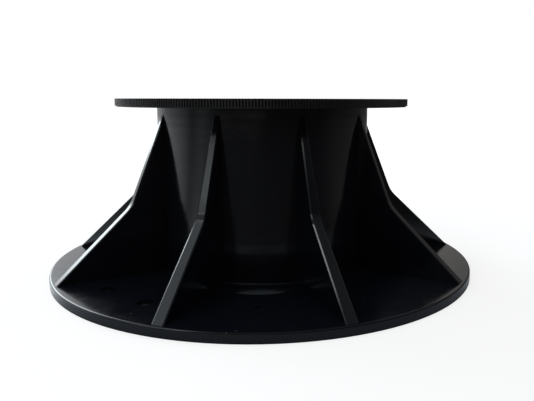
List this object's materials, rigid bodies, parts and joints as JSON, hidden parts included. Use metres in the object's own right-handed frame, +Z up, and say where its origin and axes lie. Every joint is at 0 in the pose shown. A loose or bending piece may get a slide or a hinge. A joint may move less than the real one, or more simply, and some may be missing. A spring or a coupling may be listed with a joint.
{
  "type": "adjustable floor pedestal",
  "caption": "Black moulded screw pedestal for raised floors: ribbed round foot with hollow stem and a flat toothed head that screws up to raise the floor.",
  "frame": {"origin": "centre of the foot plate's underside", "axes": "+Z up along the stem's axis; -Y points out through the middle of a space between two ribs, one with a drain opening"},
  "size_m": [0.2, 0.2, 0.0813],
  "materials": {
    "foot_plastic": "black moulded polypropylene, semi-gloss",
    "head_plastic": "black moulded polypropylene, semi-gloss"
  },
  "bodies": {
    "foot": {"base": "foot_plastic"},
    "head": {"screw_head": "head_plastic"}
  },
  "joints": [
    {"name": "height_adjust", "type": "slide", "parent": "foot", "child": "head", "axis": [0, 0, 1], "range_m": [0, 0.058]}
  ]
}
